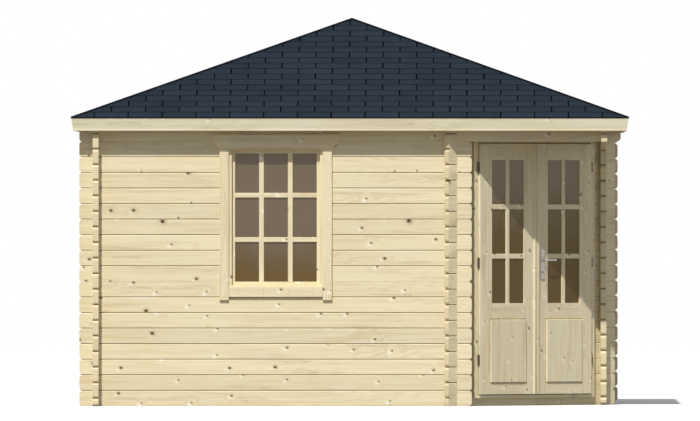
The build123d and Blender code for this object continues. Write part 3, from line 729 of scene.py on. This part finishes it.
shingle_sheet = grow(
    shingle_tree,
    {
        "Rows": row_count,
        "Tabs": tab_count,
        "Row Height": row_height,
        "Tab Width": tab_width,
        "Slot": slot_width,
        "Start": first_slot - tab_width / 2,
        "Thickness": tab_thickness,
        "Rise": tab_lift,
        "Material": shingle_slate,
    },
)
shingles = []
for side, turn in side_turns.items():
    shape = bmesh.new()
    shape.from_mesh(shingle_sheet)
    bmesh.ops.translate(shape, verts=shape.verts, vec=(0, 0, felt_thickness))
    cut_to_hips(shape, hip_gap)
    cut(shape, Vector((0, 0, 0)), Vector((0, -1, 0)))
    shape.transform(slope_frame(turn))
    node = "roof_shingles_" + side
    shingles.append(add_piece("shingles_" + side, shape, shingle_slate, "root", "shingle", [node]))
    under = bmesh.new()
    corners = [(-roof_half, 0), (roof_half, 0), (0, slope_length)]
    low = [under.verts.new((x, y, 0)) for x, y in corners]
    high = [under.verts.new((x, y, felt_thickness)) for x, y in corners]
    under.faces.new(low[::-1])
    under.faces.new(high)
    for a, b in ((0, 1), (1, 2), (2, 0)):
        under.faces.new((low[a], low[b], high[b], high[a]))
    under.transform(slope_frame(turn))
    add_piece("roofing_felt_" + side, under, roofing_felt, "root", "shingle")
print("shingles:", row_count, "rows,", triangles(shingles), "triangles")

# %% [markdown]
# ## Boards
# The roof is closed with tongued and grooved boards that run from hip rafter to hip rafter, and
# the floor with wider ones. One tree lays boards side by side; each has eased edges, which
# is what makes the small V joint between two of them.

# %% The board tree
lengths = ("Length", "Width", "Thickness", "Gap", "Ease")
board_inputs = {"Count": "Int", **dict.fromkeys(lengths, "Float"), "Material": "Material"}
board_tree, graph, given = new_tree("boards", board_inputs)
step = graph.vector(0.0, given["Width"], 0.0)
line = graph.node("GeometryNodeMeshLine", (), {"Count": given["Count"], "Offset": step})
full = given["Width"] - given["Gap"]
thin = given["Thickness"] - given["Ease"]
size = graph.vector(given["Length"], full, thin)
board = graph.node("GeometryNodeMeshCube", (), {"Size": size})
board = graph.moved(board, (0.0, full * 0.5, thin * 0.5 + given["Ease"]))
face_size = graph.vector(given["Length"], full - given["Ease"] * 2.0, given["Ease"])
face_strip = graph.node("GeometryNodeMeshCube", (), {"Size": face_size})
face_strip = graph.moved(face_strip, (0.0, full * 0.5, given["Ease"] * 0.5))
both = graph.tree.nodes.new("GeometryNodeJoinGeometry")
graph.tree.links.new(board.socket, both.inputs[0])
graph.tree.links.new(face_strip.socket, both.inputs[0])
both = Graph(graph.tree, both.outputs[0])
laid = graph.node("GeometryNodeInstanceOnPoints", (), {"Points": line, "Instance": both})
finish_tree(graph, laid, given["Material"])


# %% Roof boards and floor boards
roof_board_thickness = 0.019
roof_board_width = 0.096
roof_board_gap = 0.0005
roof_board_reach = -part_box("roof_boards_front")[0].y
roof_board_start = (roof_half - roof_board_reach) / math.cos(roof_pitch)
roof_boards = []
roof_board_sheet = grow(
    board_tree,
    {
        "Count": math.ceil(slope_length / roof_board_width),
        "Length": 2 * roof_half,
        "Width": roof_board_width,
        "Thickness": roof_board_thickness,
        "Gap": 0.001,
        "Ease": 0.002,
        "Material": level_front,
    },
)
board_finish = {
    "front": spruce("spruce_roof_front", 0.0, pitch=0.0328, knots=0.3),
    "right": spruce("spruce_roof_right", quarter, pitch=0.0328, knots=0.3),
}
board_finish["back"] = board_finish["front"]
board_finish["left"] = board_finish["right"]
for side, turn in side_turns.items():
    shape = bmesh.new()
    shape.from_mesh(roof_board_sheet)
    bmesh.ops.translate(shape, verts=shape.verts, vec=(0, 0, -roof_board_thickness))
    cut_to_hips(shape, roof_board_gap)
    cut(shape, Vector((0, roof_board_start, 0)), Vector((0, -1, 0)))
    shape.transform(slope_frame(turn, roof_board_gap))
    name = "roof_planks_" + side
    roof_boards.append(
        add_piece(name, shape, board_finish[side], "root", "roof_wood", ["roof_boards_" + side])
    )

floor_low, floor_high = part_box("floor_boards")
floor_half = floor_high.x
floor_cut = max(v.co.x - v.co.y for v in nodes["floor_boards"].data.vertices) / 2
floor_board_width = 0.112
floor_sheet = grow(
    board_tree,
    {
        "Count": math.ceil(2 * floor_half / floor_board_width),
        "Length": 2 * floor_half,
        "Width": floor_board_width,
        "Thickness": floor_high.z - floor_low.z,
        "Gap": 0.001,
        "Ease": 0.0015,
        "Material": level_front,
    },
)
shape = bmesh.new()
shape.from_mesh(floor_sheet)
floor_place = Matrix.Translation((0, floor_half, floor_high.z)) @ Matrix.Rotation(math.pi, 4, "X")
shape.transform(floor_place)
cut(shape, Vector((0, -floor_half, 0)), Vector((0, -1, 0)))
cut(shape, Vector((floor_cut, -floor_cut, 0)), Vector((1, -1, 0)).normalized())
floor_finish = spruce("spruce_floor", 0.0, knots=0.3)
floor = add_piece("floor_planks", shape, floor_finish, "root", "floor_wood", ["floor_boards"])
print("boards:", triangles(roof_boards), "triangles in the roof,", triangles([floor]), "in the floor")

# %% [markdown]
# ## Boards along the eaves, casings and frames
# These pieces of the frame have the right shape already. They only need eased edges, so that
# their corners catch the light, and spruce with its grain along the piece. A casing is made of
# separate boards, so each board takes upright or level grain by its own shape. A sash is one
# solid, so its material turns the grain where the rails lie between the stiles.


# %% Which way the grain runs
def islands(shape):
    """The separate solids of a mesh, as lists of faces."""
    seen = set()
    for start in shape.faces:
        if start in seen:
            continue
        seen.add(start)
        found = [start]
        for face in found:
            for near in (near for edge in face.edges for near in edge.link_faces):
                if near not in seen:
                    seen.add(near)
                    found.append(near)
        yield found


def grain_by_shape(shape, wall):
    """Faces of boards that lie level take the second material, upright ones the first."""
    inverse = wall.inverted()
    for faces in islands(shape):
        places = [inverse @ v.co for face in faces for v in face.verts]
        wide = max(p.x for p in places) - min(p.x for p in places)
        high = max(p.z for p in places) - min(p.z for p in places)
        for face in faces:
            face.material_index = int(wide > high)


def frame_rails(node, wall, stile):
    """Zone of the rails of a frame with two stiles: its middle, and from where to where."""
    low, high = reach(node, wall, 0)
    return (low + high) / 2, -1.0, (high - low) / 2 - stile


# %% Eased joinery
joinery_easing = 0.0015
sash_stile = 0.024
inner_board = 0.060
fascia_tint = (0.99, 1.03, 1.11)
fascia_front = spruce("spruce_fascia_front", 0.0, knots=0.25, tint=fascia_tint)
fascia_side = spruce("spruce_fascia_side", quarter, knots=0.25, tint=fascia_tint)
roof_frame = spruce("spruce_rafters", 0.0, knots=0.2)
sash_rails = frame_rails("window_sash", front_frame, sash_stile)
sash_wood = spruce("spruce_sash", 0.0, upright=True, knots=0.6, rails=sash_rails)
inner_rails = frame_rails("window_inner_casing", front_frame, inner_board)
inner_wood = spruce("spruce_inner_casing", 0.0, upright=True, knots=0.3, rails=inner_rails)
boards_front = (upright_front, level_front)
joinery = {
    "fascia_front": (fascia_front, "fascia_wood"),
    "fascia_back": (fascia_front, "fascia_wood"),
    "fascia_left": (fascia_side, "fascia_wood"),
    "fascia_right": (fascia_side, "fascia_wood"),
    "window_lining": (boards_front, "joinery_wood"),
    "window_casing": (boards_front, "joinery_wood"),
    "window_inner_casing": (inner_wood, "joinery_wood"),
    "window_sash": (sash_wood, "joinery_wood"),
    "door_jamb_left": (upright_door, "joinery_wood"),
    "door_jamb_right": (upright_door, "joinery_wood"),
    "door_frame_head": (level_door, "joinery_wood"),
    "door_threshold": (level_door, "joinery_wood"),
}
eased_joinery = []
for node, (finish, slot) in joinery.items():
    shape = eased(node, joinery_easing)
    if finish is boards_front:
        grain_by_shape(shape, front_frame)
    eased_joinery.append(add_piece(node + "_wood", shape, finish, "root", slot, [node]))
for node in ("wall_plates", "hip_rafters", "floor_bearers"):
    nodes[node].material_slots[0].material = roof_frame
nodes["hip_trim"].material_slots[0].material = black_sheet
print("joinery:", len(eased_joinery), "pieces,", triangles(eased_joinery), "triangles")

# %% [markdown]
# ## Window
# The sash is divided by bars, two upright and two level, on both faces of the pane. Seen from
# outside, a bar is a crisp flat strip. On the inside, beads with the same bevel hold the pane.


# %% Sizes of the bars
bar_width = 0.036
bar_setback = 0.003
bar_bevel = 0.003
crossing_step = 0.0004
bead_width = 0.009
bead_top = 0.002


# %% Bars and beads
def skin(shape, place, rings, closed=False):
    """Faces from each ring of points to the next. The ends are capped, or joined when closed."""
    rings = [[shape.verts.new(place @ Vector(point)) for point in ring] for ring in rings]
    after = rings[1:] + rings[:1] if closed else rings[1:]
    for first, second in zip(rings, after):
        for n in range(len(first)):
            m = (n + 1) % len(first)
            shape.faces.new((first[n], first[m], second[m], second[n]))
    if not closed:
        shape.faces.new(rings[0][::-1])
        shape.faces.new(rings[-1])


def bar(shape, place, start, end, centre, upright, profile):
    """A straight bar in a wall's frame; the profile is (across, depth) pairs, closed."""
    if upright:
        rings = [[(centre + across, depth, at) for across, depth in profile] for at in (start, end)]
    else:
        rings = [[(at, depth, centre + across) for across, depth in profile] for at in (start, end)]
    skin(shape, place, rings)


def bead(shape, place, left, right, low, high, profile):
    """A strip round the inside of an opening, mitred; the profile is (inset, depth) pairs."""
    rings = []
    corners = ((left, 1, low, 1), (right, -1, low, 1), (right, -1, high, -1), (left, 1, high, -1))
    for inset, depth in profile:
        rings.append([(x + a * inset, depth, z + b * inset) for x, a, z, b in corners])
    skin(shape, place, rings, closed=True)


def evenly(low, high, panes):
    """Centres of the bars that divide a span into equal panes."""
    pane = (high - low - (panes - 1) * bar_width) / panes
    return [low + n * (pane + bar_width) - bar_width / 2 for n in range(1, panes)]


def tidy_normals(shape):
    bmesh.ops.remove_doubles(shape, verts=shape.verts, dist=1e-6)
    bmesh.ops.recalc_face_normals(shape, faces=shape.faces)


def bar_profile(glass_face, face):
    """A bar that stands on the glass, with a flat face and small bevels."""
    half = bar_width / 2
    shoulder = face + math.copysign(bar_bevel, glass_face - face)
    side = [(half - bar_bevel, face), (half, shoulder), (half, glass_face)]
    return [(-across, depth) for across, depth in side[::-1]] + side


def crossing_bars(wall, node, faces, columns, rows, name, materials, body):
    """Upright and level bars on both faces of a sheet of glass, as one piece."""
    left, right = reach(node, wall, 0)
    near, far = reach(node, wall, 1)
    low, high = reach(node, wall, 2)
    shape = bmesh.new()
    for glass_face, face in zip((near, far), faces):
        profile = bar_profile(glass_face, face)
        for centre in evenly(left, right, columns):
            bar(shape, wall, low, high, centre, True, profile)
        upright_faces = len(shape.faces)
        lower = math.copysign(crossing_step, glass_face - face)
        level_profile = [(at, depth + lower * (depth != glass_face)) for at, depth in profile]
        for centre in evenly(low, high, rows):
            bar(shape, wall, left, right, centre, False, level_profile)
        shape.faces.ensure_lookup_table()
        for face_of_bar in shape.faces[upright_faces:]:
            face_of_bar.material_index = 1
    inside = faces[1]
    profile = [(0.0, far), (0.0, inside), (bead_top, inside), (bead_width, far)]
    bead(shape, wall, left, right, low, high, profile)
    tidy_normals(shape)
    return add_piece(name, shape, materials, body, "joinery_wood")


# %% Window bars
sash_near, sash_far = reach("window_sash", front_frame, 1)
bar_faces = (sash_near + bar_setback, sash_far - bar_setback)
window_bars = crossing_bars(
    front_frame, "window_glass", bar_faces, 3, 3, "window_bars", boards_front, "root"
)
nodes["window_glass"].material_slots[0].material = window_pane
print("window bars:", triangles([window_bars]), "triangles")

# %% [markdown]
# ## Door leaves
# A leaf is a frame of stiles and rails round a pane and a raised panel. The frame comes as one
# solid, so its material turns the grain: level in the rails and upright in the stiles. The line
# between them is where the tenoned joint shows on the real leaf.

# %% Wood of the leaf frames
glass_left, glass_right = reach("right_leaf_glass", door_frame, 0)
leaf_rails = (0.0, glass_left, glass_right)
leaf_wood = spruce(
    "spruce_leaf", eighth, upright=True, knots=0.7, tint=door_tint, rails=leaf_rails
)
boards_door = (upright_door, level_door)
leaf_depth = 0.040


# %% Leaves
def leaf_pieces(name):
    """The wood, bars and panel of one leaf, all on its body."""
    frame_node, panel_node, glass_node = name + "_frame", name + "_panel", name + "_glass"
    shape = eased(frame_node, joinery_easing)
    stiles = add_piece(frame_node + "_wood", shape, leaf_wood, name, "joinery_wood", [frame_node])
    shape = eased(panel_node, joinery_easing / 2)
    panel = add_piece(panel_node + "_wood", shape, upright_door, name, "joinery_wood", [panel_node])
    inside_face = reach(frame_node, door_frame, 1)[1]
    faces = (inside_face - leaf_depth + bar_setback, inside_face - bar_setback)
    bars = crossing_bars(door_frame, glass_node, faces, 2, 3, name + "_bars", boards_door, name)
    nodes[glass_node].material_slots[0].material = door_pane
    return [stiles, panel, bars]


leaves = leaf_pieces("left_leaf") + leaf_pieces("right_leaf")
print("leaves:", len(leaves), "pieces,", triangles(leaves), "triangles")

# %% [markdown]
# ## Hinges
# Each leaf hangs on three lift-off hinges. A hinge is two short barrels on one pin: the lower one
# stays with the frame and the upper one turns with the leaf. A barrel is a turned part, so it is
# a profile of radius and height swept round the hinge axis.


# %% Turned parts and plates
plate_corner = 0.009
plate_corner_steps = 5
plate_easing = 0.0007


def turned(shape, place, profile, sides=28):
    """A profile of (radius, height) pairs swept round the local z axis of a place."""
    angles = [2 * math.pi * n / sides for n in range(sides)]
    rings = [[(r * math.cos(a), r * math.sin(a), height) for a in angles] for r, height in profile]
    skin(shape, place, rings)


def domed(radius, low, high, rim=0.001, steps=4):
    """Profile of a pin or head with a rounded upper edge."""
    curve = [math.pi / 2 * n / steps for n in range(steps + 1)]
    top = [(radius - rim + rim * math.cos(a), high - rim + rim * math.sin(a)) for a in curve]
    return [(radius, low)] + top


def plate(shape, wall, left, right, low, high, back, front):
    """A thin plate with round corners and an eased front edge, in a wall's frame."""
    corner, steps = plate_corner, plate_corner_steps
    centres = ((right - corner, high - corner), (left + corner, high - corner))
    centres += ((left + corner, low + corner), (right - corner, low + corner))
    outline = []
    for start, (x, z) in enumerate(centres):
        for n in range(steps + 1):
            a = (start + n / steps) * quarter
            outline.append((x, z, math.cos(a), math.sin(a)))
    levels = ((back, corner), (front + plate_easing, corner), (front, corner - plate_easing))
    rings = [[(x + r * c, depth, z + r * k) for x, z, c, k in outline] for depth, r in levels]
    skin(shape, wall, rings)


def set_in_plate(shape, wall, face, z, profile, sides):
    """A small turned part in the middle of a handle plate, facing out of the wall."""
    place = wall @ Matrix.Translation((spindle_x, face, z)) @ Matrix.Rotation(quarter, 4, "X")
    turned(shape, place, profile, sides)


# %% Hinges of both leaves
def lowest_rims(node):
    """Heights of the lowest rims of the barrels in a node, one for each hinge."""
    rims = sorted({round(v.co.z, 4) for v in nodes[node].data.vertices})
    return [z for z in rims if not any(0 < z - other < 0.1 for other in rims)]


barrel_radius = 0.008
barrel_height = 0.036
barrel_gap = 0.001
barrel_cap = 0.0015
groove_depth = 0.0006
groove_place = 0.004
pin_radius = 0.0038
pin_head = 0.003
hinge_axis = reach("right_leaf_hinges", door_frame, 0)[0] + barrel_radius
hinge_depth = reach("right_leaf_hinges", door_frame, 1)[0] + barrel_radius
hinge_levels = [z - barrel_gap for z in lowest_rims("right_leaf_hinges")]
print("hinges at", [round(z, 3) for z in hinge_levels])


def barrel(low, high):
    """Profile of a barrel with rounded rims and a fine groove near each end."""
    full = barrel_radius
    lower = [(full - barrel_cap, low), (full, low + barrel_cap), (full, low + groove_place)]
    lower.append((full - groove_depth, low + groove_place + groove_depth))
    lower.append((full, low + groove_place + 2 * groove_depth))
    upper = [(radius, low + high - height) for radius, height in lower[::-1]]
    return lower + upper


frame_metal = bmesh.new()
for side, name in ((-1, "left_leaf"), (1, "right_leaf")):
    leaf_metal = bmesh.new()
    for level in hinge_levels:
        place = door_frame @ Matrix.Translation((side * hinge_axis, hinge_depth, 0))
        low = level + barrel_gap
        turned(frame_metal, place, barrel(level - barrel_height, level))
        turned(frame_metal, place, domed(pin_radius, level - barrel_gap, level + barrel_height))
        turned(leaf_metal, place, barrel(low, low + barrel_height))
        top = low + barrel_height
        turned(leaf_metal, place, domed(pin_radius, top - barrel_gap, top + pin_head))
    tidy_normals(leaf_metal)
    replaced = name + "_hinges"
    add_piece(replaced + "_turned", leaf_metal, bronze_zinc, name, "steel", [replaced])
tidy_normals(frame_metal)
replaced = "frame_hinges"
frame_metal = add_piece(replaced + "_turned", frame_metal, bronze_zinc, "root", "steel", [replaced])
print("hinges:", triangles([frame_metal]), "triangles on the frame")

# %% [markdown]
# ## Handle
# The lever is a bent, slightly tapered bar on a round neck. It is a row of oval sections along a
# path, which is how a tube with a changing thickness is made by hand. The plate behind it has
# round corners, a screw at each end and a keyhole.


# %% Lever
def swept(shape, wall, path, sides=16):
    """Oval sections along a path of (x, depth, z, half width, half height, turn) entries."""
    angles = [2 * math.pi * n / sides for n in range(sides)]
    rings = []
    for x, depth, z, wide, high, turn in path:
        offsets = [(wide * math.cos(a), high * math.sin(a)) for a in angles]
        ring = [(x + o * math.cos(turn), depth + o * math.sin(turn), z + up) for o, up in offsets]
        rings.append(ring)
    skin(shape, wall, rings)


lever_right = reach("handle_lever", door_frame, 0)[1]
lever_front, lever_back = reach("handle_lever", door_frame, 1)
lever_low, lever_high = reach("handle_lever", door_frame, 2)
plate_left, plate_right = reach("handle_plates", door_frame, 0)
plate_front, plate_back = reach("handle_plates", door_frame, 1)
plate_low, plate_high = reach("handle_plates", door_frame, 2)
lever_level = (lever_low + lever_high) / 2
spindle_x = (plate_left + plate_right) / 2
neck = 0.0068
grip_depth = 0.0055
bend = 0.012
bend_steps = 7
grip_sag = 0.002
grip_extra = 0.001
grip_sizes = ((0.15, 1.0), (0.35, 0.96), (0.55, 0.94), (0.75, 0.96))
grip_sizes += ((0.9, 1.0), (0.97, 0.85), (1.0, 0.45))
neck_sizes = ((0.0, 1.4), (0.004, 1.3), (0.006, 1.0))


def lever_path(plate_face, grip_face):
    """From the plate straight out, round a bend and along the leaf, a little lower midway."""
    out = math.copysign(1.0, grip_face - plate_face)
    middle = grip_face - out * grip_depth
    path = []
    for height, size in neck_sizes:
        depth = plate_face + out * height
        path.append((spindle_x, depth, lever_level, neck * size, neck * size, 0.0))
    for n in range(bend_steps + 1):
        share = n / bend_steps
        a = quarter * share
        x = spindle_x + bend * (1 - math.cos(a))
        depth = middle - out * bend * (1 - math.sin(a))
        wide = neck + (grip_depth - neck) * share
        path.append((x, depth, lever_level, wide, neck + grip_extra * share, -out * a))
    grip = lever_right - spindle_x - bend
    for share, size in grip_sizes:
        x = spindle_x + bend + grip * share
        z = lever_level - grip_sag * math.sin(math.pi * share)
        high = (neck + grip_extra) * size
        path.append((x, middle, z, grip_depth * size, high, -out * quarter))
    return path


lever = bmesh.new()
swept(lever, door_frame, lever_path(plate_front, lever_front))
swept(lever, door_frame, lever_path(plate_back, lever_back))
tidy_normals(lever)
lever = add_piece("lever_handle_bent", lever, satin_nickel, "lever", "handle_metal", ["handle_lever"])

# %% Plates with their screws and keyholes
plate_thickness = 0.008
plate_screw_inset = 0.014
screw_radius = 0.0036
keyhole_level = 0.987
screw_profile = [(1.0, -0.0002), (0.9, 0.0005), (0.55, 0.0010), (0.4, 0.0010), (0.3, 0.0003)]
screw_profile = [(screw_radius * share, height) for share, height in screw_profile]
keyhole_profile = [(0.0095, -0.0004), (0.0090, 0.0012), (0.0060, 0.0012), (0.0050, -0.0001)]
keyhole_spread = (0.012, 0.022)

plates = bmesh.new()
mirrored = door_frame @ Matrix.Diagonal((1, -1, 1, 1))
for facing, face in ((door_frame, plate_front), (mirrored, -plate_back)):
    back = face + plate_thickness
    plate(plates, facing, plate_left, plate_right, plate_low, plate_high, back, face)
    for z in (plate_low + plate_screw_inset, plate_high - plate_screw_inset):
        set_in_plate(plates, facing, face, z, screw_profile, 12)
    set_in_plate(plates, facing, face, keyhole_level, keyhole_profile, 28)
for part in islands(plates):
    spread = max((v.co - part[0].verts[0].co).length for face in part for v in face.verts)
    for face in part:
        face.material_index = int(keyhole_spread[0] < spread < keyhole_spread[1])
tidy_normals(plates)
metals = (satin_nickel, bronze_zinc)
replaced = "handle_plates"
plates = add_piece(replaced + "_round", plates, metals, "right_leaf", "handle_metal", [replaced])
print("handle:", triangles([lever, plates]), "triangles")

# %% [markdown]
# ## Screws and nails
# Boards are fixed with a screw or a nail every so often. It is one head repeated along lines, so
# Geometry Nodes place it: a line of points, a head on each, made real at the end.

# %% The tree of fixings
fixing_inputs = {"Start": "Vector", "End": "Vector", "Count": "Int"}
fixing_inputs.update({"Radius": "Float", "Height": "Float", "Material": "Material"})
fixing_tree, graph, given = new_tree("fixings", fixing_inputs)
ends = {"Count": given["Count"], "Start Location": given["Start"], "Offset": given["End"]}
line = graph.node("GeometryNodeMeshLine", {"mode": "END_POINTS"}, ends)
head_size = {"Vertices": 12, "Radius": given["Radius"], "Depth": given["Height"]}
head = graph.node("GeometryNodeMeshCylinder", (), head_size)
head = graph.moved(head, (0.0, 0.0, 0.0), (quarter, 0.0, 0.0))
laid = graph.node("GeometryNodeInstanceOnPoints", (), {"Points": line, "Instance": head})
finish_tree(graph, laid, given["Material"])


def fixings(wall, lines, radius=0.0032, height=0.0012):
    """Heads along lines of (start, end, count) in a wall's frame, as one mesh."""
    shape = bmesh.new()
    for start, end, count in lines:
        values = {"Start": start, "End": end, "Count": count, "Radius": radius}
        values.update({"Height": height, "Material": yellow_zinc})
        mesh = grow(fixing_tree, values)
        mesh.transform(wall)
        shape.from_mesh(mesh)
        bpy.data.meshes.remove(mesh)
    return shape


# %% Screws of the window casing
shape = bmesh.new()
shape.from_mesh(nodes["window_casing"].data)
bmesh.ops.remove_doubles(shape, verts=shape.verts, dist=2e-5)
board_lines = []
screw_inset = 0.022
level_extra = 0.05
for faces in islands(shape):
    places = [front_frame.inverted() @ v.co for face in faces for v in face.verts]
    left, right = min(p.x for p in places), max(p.x for p in places)
    low, high = min(p.z for p in places), max(p.z for p in places)
    face = min(p.y for p in places)
    if right - left > high - low:
        inner = screw_inset + level_extra
        for z in (low + screw_inset, high - screw_inset):
            board_lines.append(((left + inner, face, z), (right - inner, face, z), 4))
    else:
        for x in (left + screw_inset, right - screw_inset):
            board_lines.append(((x, face, low + screw_inset), (x, face, high - screw_inset), 5))
shape.free()
casing_screws = fixings(front_frame, board_lines)
casing_screws = add_piece("window_casing_screws", casing_screws, yellow_zinc, "root", "steel")

# %% Nails of the fascias
fascia_inset = 0.018
fascia_lean = 0.015
nail_rows = (0.030, 0.068)
nail_end = 0.16
nails_a_side = 7
nail_radius = 0.0024
fascia_low, fascia_high = (corner.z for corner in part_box("fascia_front"))
nails = bmesh.new()
for turn in side_turns.values():
    nail_lines = []
    for height in nail_rows:
        lean = fascia_lean * height / (fascia_high - fascia_low)
        depth = fascia_inset - roof_half - lean
        start = (nail_end - roof_half, depth, fascia_low + height)
        end = (roof_half - nail_end, depth, fascia_low + height)
        nail_lines.append((start, end, nails_a_side))
    part = fixings(wall_frame(turn, 0.0), nail_lines, nail_radius)
    mesh = bpy.data.meshes.new("nails")
    part.to_mesh(mesh)
    nails.from_mesh(mesh)
    part.free()
nails = add_piece("fascia_nails", nails, yellow_zinc, "root", "steel")
print("fixings:", triangles([casing_screws, nails]), "triangles")

# %% [markdown]
# ## Finish

# %% Colour view
view = bpy.context.scene.view_settings
view.view_transform = "Standard"
